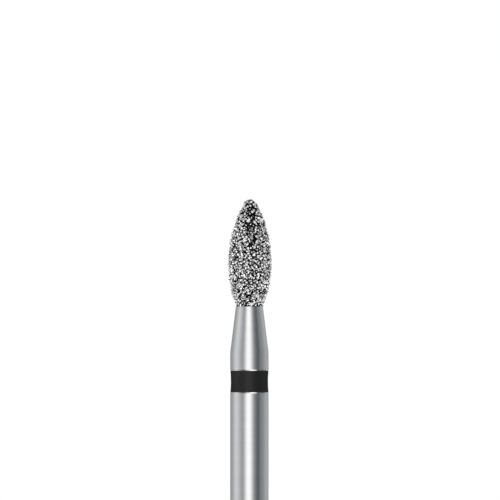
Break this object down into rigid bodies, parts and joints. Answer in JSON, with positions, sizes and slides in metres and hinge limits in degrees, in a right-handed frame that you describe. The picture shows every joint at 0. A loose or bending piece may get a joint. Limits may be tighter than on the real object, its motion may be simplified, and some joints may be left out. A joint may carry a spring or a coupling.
{
  "type": "dental bur",
  "caption": "Friction-grip rotary bur: plain round shank with a black code ring, a tapered neck and a pointed-oval head covered all over with coarse diamond grit.",
  "frame": {"origin": "centre of the flat driven end of the shank", "axes": "+Z along the axis from the driven end to the tip of the head; X and Y are alike, because the bur is round"},
  "size_m": [0.0018, 0.0018, 0.019],
  "materials": {
    "ground_steel": "finely ground round the axis, bright",
    "black_lacquer": "baked lacquer, satin gloss",
    "diamond_grit": "coarse diamond grains standing out of a plated metal bond"
  },
  "bodies": {
    "root": {"steel_blank": "ground_steel", "code_ring": "black_lacquer", "diamond_coat": "diamond_grit"}
  },
  "joints": []
}
